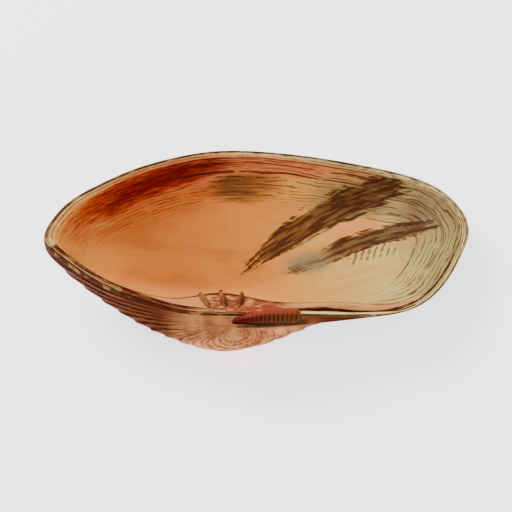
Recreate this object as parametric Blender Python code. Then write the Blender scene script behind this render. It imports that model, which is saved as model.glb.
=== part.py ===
"""One valve of an elongated clam shell, lying hollow side up, and its ligament.

The shell wall follows the way a shell grows: the margin is one closed outline, and every
older margin is the same outline made smaller and turned about the hinge, towards the beak.
The hollow is the outer surface less the wall, with a flat hinge plate along the hinge side.
Lengths are in metres. +X runs along the shell, the hinge is on the -Y side, +Z is up.
"""

import math

import bmesh
import bpy
import numpy as np
from mathutils import Euler, Matrix, Vector
from mathutils.bvhtree import BVHTree

MM = 0.001
TURN = 2.0 * math.pi

COLLECTION_NAME = "bivalve_shell"
CUTTERS_NAME = "cutters"

# The margin seen square on, in millimetres: (along the hinge, away from the hinge).
# It starts at the left end and runs round the far side, the right end and the hinge side.
MARGIN_MM = (
    (-41.8, 24.5), (-40.2, 31.0), (-36.2, 36.8), (-29.9, 41.7), (-22.0, 46.3),
    (-13.0, 49.5), (-4.0, 51.0), (6.0, 50.2), (16.0, 48.1), (26.0, 45.1),
    (34.5, 41.9), (41.0, 38.2), (45.8, 32.6), (48.2, 25.0), (46.6, 17.5),
    (42.2, 8.2), (36.5, 1.4), (29.0, -1.4), (19.0, -1.1), (8.0, -0.2),
    (-4.0, 0.4), (-14.0, 1.9), (-22.5, 5.8), (-30.5, 10.9), (-37.5, 17.9),
)

# Growth of the outer surface
BEAK = (-2.5 * MM, -3.5 * MM)
GROWTH_RATE = 1.444
STEEP_MARGIN = 0.073
SIDE_LEAN = 0.283
END_WALL = 1.4 * MM
END_WALL_TURN = 0.09
END_WALL_REACH = 41.0 * MM

# Raised growth ridges, each a gentle rise that ends in a small step
RIDGES = 13
SMALLEST_RIDGE_ROOT = 0.20
RIDGE_HEIGHT = 0.28 * MM
RIDGE_PROFILE = ((0.18, 1.0), (0.55, 0.35), (0.95, 0.0))
RIDGE_FADE_ROOT = 0.35
RIDGE_WORN_FROM = 0.6
RIDGE_HINGE_START = 5.0 * MM
RIDGE_HINGE_FULL = 18.0 * MM
BEAK_TIP_ROOTS = (0.15, 0.11, 0.08)

# Rim, hinge plate and hollow
RIM_WIDTH = 1.9 * MM
PLATE_WIDTH = 4.4 * MM
PLATE_MIDDLE = -6.0 * MM
PLATE_SPREAD = 10.0 * MM
LATERAL_WIDTH = 2.1 * MM
LATERAL_MIDDLE = 19.0 * MM
LATERAL_SPREAD = 13.0 * MM
WALL = 2.0 * MM
HOLLOW_CENTRE = (1.0 * MM, 25.0 * MM)
HOLLOW_STEPS = (0.03, 0.08, 0.15, 0.24, 0.34, 0.45, 0.57, 0.69, 0.81, 0.91)
WALL_SLOPE = 2.0 * MM
PLATE_SLOPE = 1.1 * MM
UNDERCUT = 2.2 * MM
UNDERCUT_AT = 0.13
UNDERCUT_START = 0.08

# The hinge side is where the margin's inward direction points mostly away from the hinge
HINGE_FACING_START = 0.45
HINGE_FACING_FULL = 0.85

# Hinge teeth: (along, away from hinge, half length, half width, height, turn in degrees)
TEETH_MM = (
    (-8.6, 4.6, 2.2, 0.55, 0.95, 114.0),
    (-5.0, 4.9, 2.4, 0.60, 1.05, 98.0),
    (-1.3, 4.6, 2.2, 0.55, 0.95, 76.0),
    (17.5, 1.6, 6.5, 0.50, 0.80, -2.0),
)
TOOTH_SINK = 0.35

# How the valve lies: turned from the flat of its margin until it rests by itself
REST_TILT_X = math.radians(-4.6)
REST_TILT_Y = math.radians(6.6)
WORN_SPOT = (1.2 * MM, 21.8 * MM)
WORN_RADIUS = 11.0 * MM
WORN_DEPTH = 0.08 * MM

# Ligament: a cross-striped band that lies along the hinge line, right of the beak
LIGAMENT_LINE = ((-3.4, -1.80, 0.20), (3.6, -1.65, 0.92), (10.9, -1.85, 0.98))
LIGAMENT_HALF_WIDTH = 1.60 * MM
LIGAMENT_HALF_HEIGHT = 1.30 * MM
LIGAMENT_STRIPES = 11
FACETS_PER_STRIPE = 3
STRIPE_DEPTH = 0.10
LIGAMENT_POINTS = 12
LIGAMENT_THIN = 0.42
LIGAMENT_SWELL = 1.3
BLUNT_END = 0.10
POINTED_END = 0.06
END_CAP = 0.18

# Facets
AROUND = 96
HALF_AROUND_ROOT = 0.56
QUARTER_AROUND_ROOT = 0.22
HALF_AROUND_STEP = 0.40
QUARTER_AROUND_STEP = 0.80
SEARCH_RINGS = 60
SEARCH_ROOT = 0.20
PROBE = 0.001
SHARP_ANGLE = math.radians(40.0)

SHELL_COLOUR = (0.62, 0.34, 0.18, 1.0)
LIGAMENT_COLOUR = (0.20, 0.06, 0.03, 1.0)


def clear_scene():
    """Remove every object, so that the script can be run again in one session."""
    for item in list(bpy.data.objects):
        bpy.data.objects.remove(item, do_unlink=True)


def make_collection(name, hidden=False):
    """Return the named collection, linked to the scene."""
    collection = bpy.data.collections.get(name) or bpy.data.collections.new(name)
    if collection.name not in bpy.context.scene.collection.children:
        bpy.context.scene.collection.children.link(collection)
    collection.hide_render = hidden
    return collection


def make_material(name, colour, roughness):
    """A plain Principled material."""
    material = bpy.data.materials.new(name)
    material.use_nodes = True
    shader = material.node_tree.nodes["Principled BSDF"]
    shader.inputs["Base Color"].default_value = colour
    shader.inputs["Roughness"].default_value = roughness
    shader.inputs["Metallic"].default_value = 0.0
    return material


def smoothstep(value):
    """Ease from 0 to 1 while value goes from 0 to 1."""
    clipped = np.clip(value, 0.0, 1.0)
    return clipped * clipped * (3.0 - 2.0 * clipped)


class Margin:
    """The closed margin outline: a periodic cubic spline through MARGIN_MM."""

    def __init__(self):
        self.knots = np.array(MARGIN_MM) * MM
        count = len(self.knots)
        system = np.eye(count) * 4.0
        for row in range(count):
            system[row, row - 1] += 1.0
            system[row, (row + 1) % count] += 1.0
        self.weights = np.linalg.solve(system / 6.0, self.knots)
        self.table = np.linspace(0.0, count, 40 * count + 1)
        steps = np.linalg.norm(np.diff(self.at_knot(self.table), axis=0), axis=1)
        self.run = np.concatenate(([0.0], np.cumsum(steps)))

    def at_knot(self, place):
        """Points of the spline at places counted in knots."""
        count = len(self.knots)
        low = np.floor(place).astype(int)
        t = (place - low)[:, None]
        near = [self.weights[(low + shift) % count] for shift in (-1, 0, 1, 2)]
        return (
            near[0] * (1.0 - t) ** 3
            + near[1] * (3.0 * t**3 - 6.0 * t**2 + 4.0)
            + near[2] * (-3.0 * t**3 + 3.0 * t**2 + 3.0 * t + 1.0)
            + near[3] * t**3
        ) / 6.0

    def at(self, share):
        """Points at shares of the way round, evenly spaced by length."""
        length = np.mod(share, 1.0) * self.run[-1]
        return self.at_knot(np.interp(length, self.run, self.table))

    def inward(self, share):
        """Unit directions that point from the margin into the shell, in its flat."""
        tangent = self.at(share + PROBE) - self.at(share - PROBE)
        tangent /= np.linalg.norm(tangent, axis=1)[:, None]
        return np.stack((tangent[:, 1], -tangent[:, 0]), axis=1)


def growth_turn(size):
    """Turn about the hinge, in radians, at which the shell had a share of its full size."""
    reach = -math.log(size) / GROWTH_RATE + STEEP_MARGIN
    return math.sqrt(max(reach * reach - STEEP_MARGIN * STEEP_MARGIN, 0.0))


def outer_points(margin, share, turn):
    """Points of the smooth outer surface where the margin stood at an older turn."""
    edge = margin.at(share) - np.array(BEAK)
    size = math.exp(-GROWTH_RATE * (math.sqrt(turn**2 + STEEP_MARGIN**2) - STEEP_MARGIN))
    towards_end = np.clip(-edge[:, 0] / END_WALL_REACH, 0.0, 1.0) ** 2
    drop = END_WALL * towards_end * (1.0 - math.exp(-turn / END_WALL_TURN)) * size
    height = -edge[:, 1] * size * math.sin(turn)
    along = edge[:, 0] * size + SIDE_LEAN * height + BEAK[0]
    away = edge[:, 1] * size * math.cos(turn) + BEAK[1]
    return np.stack((along, away, height - drop), axis=1)


def outer_normals(margin, share, turn):
    """Unit normals of the smooth outer surface, pointing out of the shell."""
    around = outer_points(margin, share + PROBE, turn) - outer_points(margin, share - PROBE, turn)
    back = outer_points(margin, share, turn + PROBE) - outer_points(margin, share, turn)
    normal = np.cross(around, back)
    return normal / np.linalg.norm(normal, axis=1)[:, None]


def ridge_weight(margin, share, root, points):
    """How strongly ridges stand out: none at the hinge line, the beak tip and the worn spot."""
    from_hinge = margin.at(share)[:, 1] - BEAK[1]
    clear = smoothstep((from_hinge - RIDGE_HINGE_START) / (RIDGE_HINGE_FULL - RIDGE_HINGE_START))
    worn = np.linalg.norm(points[:, :2] - np.array(WORN_SPOT), axis=1) / WORN_RADIUS
    return clear * min(1.0, root / RIDGE_FADE_ROOT) * smoothstep(worn - RIDGE_WORN_FROM)


def ring_shares(count):
    """Evenly spaced places round the margin."""
    return np.arange(count) / count


def ring_count(root):
    """Fewer points go round the small old margins near the beak."""
    if root < QUARTER_AROUND_ROOT:
        return AROUND // 4
    if root < HALF_AROUND_ROOT:
        return AROUND // 2
    return AROUND


def outer_rings(margin):
    """Rings of points from the margin to the beak tip, over the outer surface."""
    rings = [outer_points(margin, ring_shares(AROUND), 0.0)]
    step = (1.0 - SMALLEST_RIDGE_ROOT) / RIDGES
    levels = [
        (1.0 - step * (ridge + part), height)
        for ridge in range(RIDGES)
        for part, height in RIDGE_PROFILE
    ]
    levels += [(root, 0.0) for root in BEAK_TIP_ROOTS]
    for root, height in levels:
        share = ring_shares(ring_count(root))
        turn = growth_turn(root * root)
        points = outer_points(margin, share, turn)
        lift = RIDGE_HEIGHT * height * ridge_weight(margin, share, root, points)
        rings.append(points + outer_normals(margin, share, turn) * lift[:, None])
    return rings


def hinge_share(margin, share):
    """1 where the margin is the hinge side, 0 where it isn't."""
    facing = margin.inward(share)[:, 1]
    return smoothstep((facing - HINGE_FACING_START) / (HINGE_FACING_FULL - HINGE_FACING_START))


def rim_width(margin, share):
    """Width of the flat rim, which widens to the hinge plate along the hinge side."""
    along = margin.at(share)[:, 0]
    plate = PLATE_WIDTH * np.exp(-(((along - PLATE_MIDDLE) / PLATE_SPREAD) ** 2))
    lateral = LATERAL_WIDTH * np.exp(-(((along - LATERAL_MIDDLE) / LATERAL_SPREAD) ** 2))
    return RIM_WIDTH + (plate + lateral) * hinge_share(margin, share)


def outer_tree(margin):
    """A search tree of the smooth outer surface, to find its depth under any point."""
    share = ring_shares(AROUND)
    roots = np.linspace(1.0, SEARCH_ROOT, SEARCH_RINGS)
    points = np.concatenate([outer_points(margin, share, growth_turn(root**2)) for root in roots])
    faces = []
    for start in range(0, AROUND * (SEARCH_RINGS - 1), AROUND):
        for place in range(AROUND):
            beside = start + (place + 1) % AROUND
            faces.append((start + place, beside, beside + AROUND, start + place + AROUND))
    return BVHTree.FromPolygons([tuple(point) for point in points], faces)


def hollow_ring(margin, tree, share, step):
    """One ring of the hollow, at a share of the way from the rim to the hollow's middle."""
    edge = margin.at(share)
    inward = margin.inward(share)
    hinge = hinge_share(margin, share)
    rim = edge + inward * rim_width(margin, share)[:, None]
    flat = rim + (np.array(HOLLOW_CENTRE) - rim) * step
    travel = np.linalg.norm(flat - rim, axis=1)
    under = UNDERCUT * hinge * (step / UNDERCUT_AT) * math.exp(1.0 - step / UNDERCUT_AT)
    flat = flat - inward * (under * smoothstep(step / UNDERCUT_START))[:, None]
    slope = PLATE_SLOPE * hinge + WALL_SLOPE * (1.0 - hinge)
    below = Vector((0.0, 0.0, -1.0))
    hits = [tree.ray_cast(Vector((*place, 0.0)) + below, -below)[0] for place in flat]
    depth = np.array([max(-hit.z - WALL, 0.0) if hit else 0.0 for hit in hits])
    return np.column_stack((flat, -depth * (1.0 - np.exp(-travel / slope))))


def hollow_rings(margin):
    """Rings of the hollow, from the inner edge of the rim to near its middle."""
    tree = outer_tree(margin)
    share = ring_shares(AROUND)
    inner = margin.at(share) + margin.inward(share) * rim_width(margin, share)[:, None]
    rings = [np.column_stack((inner, np.zeros(AROUND)))]
    for step in HOLLOW_STEPS:
        halvings = int(step > HALF_AROUND_STEP) + int(step > QUARTER_AROUND_STEP)
        rings.append(hollow_ring(margin, tree, ring_shares(AROUND // 2**halvings), step))
    return rings


def bridge(mesh, upper, lower):
    """Join two rings of vertices, the lower one with as many vertices or half as many."""
    many, few = len(upper), len(lower)
    for place in range(few):
        beside = (place + 1) % few
        if many == few:
            mesh.faces.new((upper[place], lower[place], lower[beside], upper[beside]))
            continue
        first, middle, last = (upper[(2 * place + shift) % many] for shift in (0, 1, 2))
        mesh.faces.new((first, lower[place], middle))
        mesh.faces.new((middle, lower[place], lower[beside]))
        mesh.faces.new((middle, lower[beside], last))


def close_ring(mesh, ring):
    """Close the last ring with a fan to its middle."""
    middle = mesh.verts.new(sum((vertex.co for vertex in ring), Vector()) / len(ring))
    for place, vertex in enumerate(ring):
        mesh.faces.new((vertex, middle, ring[(place + 1) % len(ring)]))


def lay_down(point):
    """Turn a point of the flat margin frame to the way the valve rests."""
    return Euler((REST_TILT_X, REST_TILT_Y, 0.0)).to_matrix() @ Vector(point)


def finish_object(mesh, name, material, collection):
    """Make a smooth-shaded object of a bmesh."""
    bmesh.ops.recalc_face_normals(mesh, faces=mesh.faces)
    data = bpy.data.meshes.new(name)
    mesh.to_mesh(data)
    mesh.free()
    data.shade_smooth()
    data.set_sharp_from_angle(angle=SHARP_ANGLE)
    data.materials.append(material)
    item = bpy.data.objects.new(name, data)
    collection.objects.link(item)
    return item


def build_wall(margin):
    """The closed body of the valve: outer surface, flat rim and hollow."""
    mesh = bmesh.new()
    outer = [[mesh.verts.new(lay_down(point)) for point in ring] for ring in outer_rings(margin)]
    inner = [[mesh.verts.new(lay_down(point)) for point in ring] for ring in hollow_rings(margin)]
    for rings in (outer, inner):
        for upper, lower in zip(rings, rings[1:]):
            bridge(mesh, upper, lower)
        close_ring(mesh, rings[-1])
    bridge(mesh, outer[0], inner[0])
    return mesh


def wear_flat(mesh):
    """Take the lowest bump of the wall off flat, where the shell is worn by lying on it."""
    lowest = min(vertex.co.z for vertex in mesh.verts)
    everything = list(mesh.verts) + list(mesh.edges) + list(mesh.faces)
    bmesh.ops.bisect_plane(
        mesh,
        geom=everything,
        dist=1e-7,
        plane_co=(0.0, 0.0, lowest + WORN_DEPTH),
        plane_no=(0.0, 0.0, 1.0),
        clear_inner=True,
    )
    open_edges = [edge for edge in mesh.edges if edge.is_boundary]
    bmesh.ops.edgeloop_fill(mesh, edges=open_edges)


def build_tooth(name, size, cutters):
    """One long rounded tooth, half sunk in the hinge plate."""
    along, away, half_length, half_width, height, turn = size
    mesh = bmesh.new()
    bmesh.ops.create_uvsphere(mesh, u_segments=12, v_segments=7, radius=1.0)
    shape = Matrix.Diagonal((half_length * MM, half_width * MM, height * (1.0 + TOOTH_SINK) * MM, 1.0))
    turned = Matrix.Rotation(math.radians(turn), 4, "Z") @ shape
    place = Matrix.Translation((along * MM, away * MM, -TOOTH_SINK * height * MM))
    bmesh.ops.transform(mesh, matrix=place @ turned, verts=mesh.verts)
    for vertex in mesh.verts:
        vertex.co = lay_down(vertex.co)
    data = bpy.data.meshes.new(name)
    mesh.to_mesh(data)
    mesh.free()
    tooth = bpy.data.objects.new(name, data)
    tooth.hide_render = True
    tooth.display_type = "WIRE"
    cutters.objects.link(tooth)
    return tooth


def build_valve(margin, collection, cutters):
    """The whole valve, with its teeth grown onto the hinge plate."""
    mesh = build_wall(margin)
    wear_flat(mesh)
    material = make_material("shell", SHELL_COLOUR, 0.45)
    valve = finish_object(mesh, "valve", material, collection)
    for number, size in enumerate(TEETH_MM, start=1):
        tooth = build_tooth(f"tooth_{number}", size, cutters)
        union = valve.modifiers.new(f"tooth_{number}", "BOOLEAN")
        union.operation = "UNION"
        union.solver = "EXACT"
        union.object = tooth
    return valve


def ligament_centre(share):
    """A point on the ligament's middle line, a smooth arc through three places."""
    first, middle, last = (Vector(place) * MM for place in LIGAMENT_LINE)
    control = middle * 2.0 - (first + last) * 0.5
    return first * (1.0 - share) ** 2 + control * (2.0 * share * (1.0 - share)) + last * share**2


def ligament_fullness(share):
    """Cross-section size along the band: thin behind the beak, blunt at the far end."""
    rise = min(1.0, LIGAMENT_THIN + LIGAMENT_SWELL * share)
    past_end = max(0.0, (share - 1.0 + BLUNT_END) / BLUNT_END)
    before_start = max(0.0, (POINTED_END - share) / POINTED_END)
    round_off = math.sqrt(max(0.0, 1.0 - past_end**2)) * math.sqrt(max(0.0, 1.0 - before_start**2))
    return rise * max(END_CAP, round_off)


def build_ligament(collection):
    """The ligament: a domed band with cross stripes, closed at both ends."""
    mesh = bmesh.new()
    rings = []
    steps = LIGAMENT_STRIPES * FACETS_PER_STRIPE
    for step in range(steps + 1):
        share = step / steps
        groove = 1.0 - STRIPE_DEPTH * (step % FACETS_PER_STRIPE == 0)
        full = ligament_fullness(share) * groove
        centre = ligament_centre(share)
        ring = []
        for corner in range(LIGAMENT_POINTS):
            angle = TURN * corner / LIGAMENT_POINTS
            sideways = math.cos(angle) * LIGAMENT_HALF_WIDTH * full
            upward = math.sin(angle) * LIGAMENT_HALF_HEIGHT * full
            ring.append(mesh.verts.new(lay_down(centre + Vector((0.0, sideways, upward)))))
        rings.append(ring)
    for near, far in zip(rings, rings[1:]):
        bridge(mesh, near, far)
    close_ring(mesh, rings[-1])
    close_ring(mesh, list(reversed(rings[0])))
    material = make_material("ligament", LIGAMENT_COLOUR, 0.5)
    return finish_object(mesh, "ligament", material, collection)


def stand_on_floor(items):
    """Put the lowest point on the floor and the middle of the shell over the origin."""
    corners = [vertex.co for item in items for vertex in item.data.vertices]
    lowest = min(point.z for point in corners)
    middle = [0.5 * (min(p[axis] for p in corners) + max(p[axis] for p in corners)) for axis in (0, 1)]
    shift = Matrix.Translation((-middle[0], -middle[1], -lowest))
    for item in items:
        item.data.transform(shift)


def main():
    """Build the valve and its ligament."""
    clear_scene()
    collection = make_collection(COLLECTION_NAME)
    cutters = make_collection(CUTTERS_NAME, hidden=True)
    margin = Margin()
    valve = build_valve(margin, collection, cutters)
    ligament = build_ligament(collection)
    stand_on_floor([valve, ligament] + list(cutters.objects))


main()
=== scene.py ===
import logging
import math
from collections.abc import Callable, Mapping, Sequence
from dataclasses import dataclass, field
from enum import Enum
from typing import NamedTuple

import bpy
import numpy as np
from mathutils import Euler, Matrix, Vector
from mathutils.bvhtree import BVHTree


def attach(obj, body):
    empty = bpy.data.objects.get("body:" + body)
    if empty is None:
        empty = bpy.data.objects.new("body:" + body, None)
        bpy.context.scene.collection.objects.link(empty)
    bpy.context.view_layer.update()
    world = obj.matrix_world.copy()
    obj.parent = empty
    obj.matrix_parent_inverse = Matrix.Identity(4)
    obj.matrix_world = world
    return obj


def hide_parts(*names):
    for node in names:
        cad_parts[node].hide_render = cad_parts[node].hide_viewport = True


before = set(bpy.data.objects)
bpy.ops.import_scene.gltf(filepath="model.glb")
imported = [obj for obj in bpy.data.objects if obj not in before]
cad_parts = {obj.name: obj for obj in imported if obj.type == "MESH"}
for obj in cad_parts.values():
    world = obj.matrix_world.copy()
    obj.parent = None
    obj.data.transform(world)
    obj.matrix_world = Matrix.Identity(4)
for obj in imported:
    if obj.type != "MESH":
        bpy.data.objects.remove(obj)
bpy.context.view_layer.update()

LOG = logging.getLogger("bivalve_shell")
MM = 0.001
TURN = 2.0 * math.pi
BODY = "root"
PICTURE_SIDE = 512
# The outside's travel in millimetres, from the margin back to where the shell had no size yet.
OUTSIDE_RUN = 60.0
WHITE = (1.0, 1.0, 1.0, 1.0)

Array = np.ndarray
Paint = tuple[float, float, float, float]
Window = tuple[float, float, float, float]


class Slot(Enum):
    """The material slots."""

    SHELL = "shell"
    LIGAMENT = "ligament"


def paint(red: int, green: int, blue: int) -> Paint:
    """A colour given as it looks on a screen, from 0 to 255, as Blender's linear colour.

    Args:
        red: Share of red.
        green: Share of green.
        blue: Share of blue.

    Returns:
        The linear colour with full cover.
    """
    shares = [value / 255.0 for value in (red, green, blue)]
    linear = [s / 12.92 if s <= 0.04045 else ((s + 0.055) / 1.055) ** 2.4 for s in shares]
    return (linear[0], linear[1], linear[2], 1.0)


def smoothstep(value: Array | float) -> Array:
    """Ease from 0 to 1 while value goes from 0 to 1."""
    clipped = np.clip(value, 0.0, 1.0)
    return clipped * clipped * (3.0 - 2.0 * clipped)


def between(value: Array, start: float, full: float, last: float, end: float) -> Array:
    """A soft window over a run of values.

    Args:
        value: Where along the run each point lies.
        start: Where the window begins to rise.
        full: Where it is first full.
        last: Where it is last full.
        end: Where it has faded.

    Returns:
        A share from 0 to 1 for each point.
    """
    return smoothstep((value - start) / (full - start)) * smoothstep((end - value) / (end - last))


def steps(value: Array, table: Sequence[tuple[float, float]]) -> Array:
    """Read a table of (place, amount) rows at each value, straight between the rows."""
    places, amounts = zip(*table)
    return np.interp(value, places, amounts)


def from_oval(places: Array, along: float, away: float, long: float, wide: float) -> Array:
    """How far each place lies from the middle of an oval, 1 on the oval itself."""
    return np.hypot((places[:, 0] - along) / long, (places[:, 1] - away) / wide)


def hung(name: str, data: bpy.types.ID) -> bpy.types.Object:
    """Put a mesh, a lamp or a camera into the scene as an object.

    Args:
        name: The object's name.
        data: What it shows.

    Returns:
        The new object.
    """
    item = bpy.data.objects.new(name, data)
    bpy.context.scene.collection.objects.link(item)
    return item


@dataclass
class Margin:
    """The closed margin outline of the valve: a periodic cubic spline through its knots."""

    knots_mm: tuple[tuple[float, float], ...] = (
        (-41.8, 24.5), (-40.2, 31.0), (-36.2, 36.8), (-29.9, 41.7), (-22.0, 46.3),
        (-13.0, 49.5), (-4.0, 51.0), (6.0, 50.2), (16.0, 48.1), (26.0, 45.1),
        (34.5, 41.9), (41.0, 38.2), (45.8, 32.6), (48.2, 25.0), (46.6, 17.5),
        (42.2, 8.2), (36.5, 1.4), (29.0, -1.4), (19.0, -1.1), (8.0, -0.2),
        (-4.0, 0.4), (-14.0, 1.9), (-22.5, 5.8), (-30.5, 10.9), (-37.5, 17.9),
    )
    probe: float = 0.001
    weights: Array = field(init=False)
    table: Array = field(init=False)
    run: Array = field(init=False)

    def __post_init__(self) -> None:
        """Solve the spline and measure it along its length."""
        knots = np.array(self.knots_mm) * MM
        count = len(knots)
        system = np.eye(count) * 4.0
        for row in range(count):
            system[row, row - 1] += 1.0
            system[row, (row + 1) % count] += 1.0
        self.weights = np.linalg.solve(system / 6.0, knots)
        self.table = np.linspace(0.0, count, 40 * count + 1)
        lengths = np.linalg.norm(np.diff(self.at_knot(self.table), axis=0), axis=1)
        self.run = np.concatenate(([0.0], np.cumsum(lengths)))

    def at_knot(self, place: Array) -> Array:
        """Points of the spline at places counted in knots.

        Args:
            place: Places counted in knots.

        Returns:
            Points of the flat, in metres.
        """
        count = len(self.weights)
        low = np.floor(place).astype(int)
        t = (place - low)[:, None]
        near = [self.weights[(low + shift) % count] for shift in (-1, 0, 1, 2)]
        return (
            near[0] * (1.0 - t) ** 3
            + near[1] * (3.0 * t**3 - 6.0 * t**2 + 4.0)
            + near[2] * (-3.0 * t**3 + 3.0 * t**2 + 3.0 * t + 1.0)
            + near[3] * t**3
        ) / 6.0

    def at(self, share: Array) -> Array:
        """Points at shares of the way round, evenly spaced by length."""
        length = np.mod(share, 1.0) * self.run[-1]
        return self.at_knot(np.interp(length, self.run, self.table))

    def inward(self, share: Array) -> Array:
        """Unit directions that point from the margin into the shell, in its flat.

        Args:
            share: Places round the margin.

        Returns:
            One direction for each place.
        """
        tangent = self.at(share + self.probe) - self.at(share - self.probe)
        tangent /= np.linalg.norm(tangent, axis=1)[:, None]
        return np.stack((tangent[:, 1], -tangent[:, 0]), axis=1)

    def distance(self, flat: Array, samples: int = 1200) -> Array:
        """How far each point of the flat lies from the margin, in metres.

        Args:
            flat: Points of the flat, in metres.
            samples: How many margin points are tried.

        Returns:
            One distance for each point.
        """
        edge = self.at(np.arange(samples) / samples)
        found = np.empty(len(flat))
        for start in range(0, len(flat), 4096):
            part = flat[start : start + 4096]
            gaps = part[:, None, :] - edge[None, :, :]
            found[start : start + 4096] = np.sqrt((gaps**2).sum(axis=2).min(axis=1))
        return found


@dataclass
class OuterSurface:
    """The outside of the valve: every older margin is the same outline, smaller and turned back."""

    margin: Margin
    beak: tuple[float, float] = (-2.5 * MM, -3.5 * MM)
    growth_rate: float = 1.444
    steep_margin: float = 0.073
    side_lean: float = 0.283
    end_wall: float = 1.4 * MM
    end_wall_turn: float = 0.09
    end_wall_reach: float = 41.0 * MM
    edge_drop: float = 0.42 * MM
    edge_turn_limit: float = 0.06
    ridges: int = 13
    smallest_ridge_root: float = 0.20
    ridge_height: float = 0.28 * MM
    ridge_fade_root: float = 0.35
    hinge_start: float = 5.0 * MM
    hinge_full: float = 18.0 * MM
    worn_spot: tuple[float, float] = (1.2 * MM, 21.8 * MM)
    worn_radius: float = 11.0 * MM
    worn_from: float = 0.6
    umbo_ridge_height: float = 0.11 * MM
    umbo_crests: float = 1.6
    umbo_smooth_root: float = 0.16
    umbo_full_root: float = 0.27
    umbo_reach: float = 13.0 * MM
    umbo_edge: float = 1.4
    umbo_hinge_fade: float = 0.8
    ridge_profile: tuple[tuple[float, float], ...] = (
        (0.0, 0.05), (0.05, 0.30), (0.12, 0.80), (0.18, 1.0),
        (0.28, 0.80), (0.55, 0.35), (0.8, 0.10), (1.0, 0.05),
    )

    def turn(self, root: float) -> float:
        """Turn about the hinge at which the shell had the square of root of its full size."""
        reach = -2.0 * math.log(root) / self.growth_rate + self.steep_margin
        return math.sqrt(max(reach**2 - self.steep_margin**2, 0.0))

    def edge_turn(self, share: Array) -> Array:
        """The small turn at which the outer surface meets the rounded edge of the rim."""
        away = np.maximum(self.margin.at(share)[:, 1] - self.beak[1], MM)
        return np.minimum(self.edge_drop / away, self.edge_turn_limit)

    def points(self, share: Array, turn: Array | float) -> Array:
        """Points of the smooth surface where the margin stood at an older turn.

        Args:
            share: Places round the margin.
            turn: Turn about the hinge in radians, one for all or one for each place.

        Returns:
            Points in the margin's frame, in metres.
        """
        turn = np.broadcast_to(turn, share.shape)
        edge = self.margin.at(share) - np.array(self.beak)
        reach = np.sqrt(turn**2 + self.steep_margin**2) - self.steep_margin
        size = np.exp(-self.growth_rate * reach)
        towards_end = np.clip(-edge[:, 0] / self.end_wall_reach, 0.0, 1.0) ** 2
        drop = self.end_wall * towards_end * (1.0 - np.exp(-turn / self.end_wall_turn)) * size
        height = -edge[:, 1] * size * np.sin(turn)
        along = edge[:, 0] * size + self.side_lean * height + self.beak[0]
        away = edge[:, 1] * size * np.cos(turn) + self.beak[1]
        return np.stack((along, away, height - drop), axis=1)

    def normals(self, share: Array, turn: Array | float) -> Array:
        """Unit normals of the smooth surface, pointing out of the shell.

        Args:
            share: Places round the margin.
            turn: Turn about the hinge in radians.

        Returns:
            One normal for each place.
        """
        probe = self.margin.probe
        around = self.points(share + probe, turn) - self.points(share - probe, turn)
        back = self.points(share, turn + probe) - self.points(share, turn)
        normal = np.cross(around, back)
        return normal / np.linalg.norm(normal, axis=1)[:, None]

    def relief(self, share: Array, root: float, points: Array) -> Array:
        """Height of the growth ridges above the smooth surface.

        Args:
            share: Places round the margin.
            root: Root of the size that the shell had.
            points: The smooth surface's points there.

        Returns:
            Heights in metres.
        """
        phase = (1.0 - root) * self.ridges / (1.0 - self.smallest_ridge_root)
        part = phase - math.floor(phase)
        rise = float(steps(np.array(part), self.ridge_profile))
        from_hinge = self.margin.at(share)[:, 1] - self.beak[1]
        clear = smoothstep((from_hinge - self.hinge_start) / (self.hinge_full - self.hinge_start))
        worn = np.linalg.norm(points[:, :2] - np.array(self.worn_spot), axis=1) / self.worn_radius
        whole = min(1.0, root / self.ridge_fade_root) * smoothstep(worn - self.worn_from)
        from_beak = np.linalg.norm(points[:, :2] - np.array(self.beak), axis=1) / self.umbo_reach
        fine = math.sin(0.5 * TURN * (self.umbo_crests * phase % 1.0)) ** 2
        grown = smoothstep((root - self.umbo_smooth_root) / (self.umbo_full_root - self.umbo_smooth_root))
        umbo = fine * smoothstep(self.umbo_edge - from_beak) * (1.0 - clear) * grown
        umbo = self.umbo_ridge_height * umbo * (1.0 - self.umbo_hinge_fade * Markings.near_hinge(share))
        return self.ridge_height * rise * clear * whole + umbo


@dataclass
class Ring:
    """One closed ring of points round the valve, with what the finish reads at each of them."""

    share: Array
    points: Array
    travel: Array
    across: Array


@dataclass(frozen=True)
class Tooth:
    """One long rounded hinge tooth: place, half sizes, height in millimetres, turn in degrees."""

    along: float
    away: float
    half_length: float
    half_width: float
    height: float
    turn: float
    sink: float = 0.35

    def top(self, points: Array) -> Array:
        """Height of the tooth's surface over each point of the flat, below zero outside it.

        Args:
            points: Points in the margin's frame, in metres.

        Returns:
            Heights in metres.
        """
        offset = points[:, :2] / MM - np.array((self.along, self.away))
        angle = math.radians(self.turn)
        long = (offset[:, 0] * math.cos(angle) + offset[:, 1] * math.sin(angle)) / self.half_length
        wide = (offset[:, 1] * math.cos(angle) - offset[:, 0] * math.sin(angle)) / self.half_width
        round_part = np.sqrt(np.maximum(0.0, 1.0 - long**2 - wide**2))
        return np.where(
            long**2 + wide**2 < 1.0,
            self.height * ((1.0 + self.sink) * round_part - self.sink) * MM,
            -1.0,
        )


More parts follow.
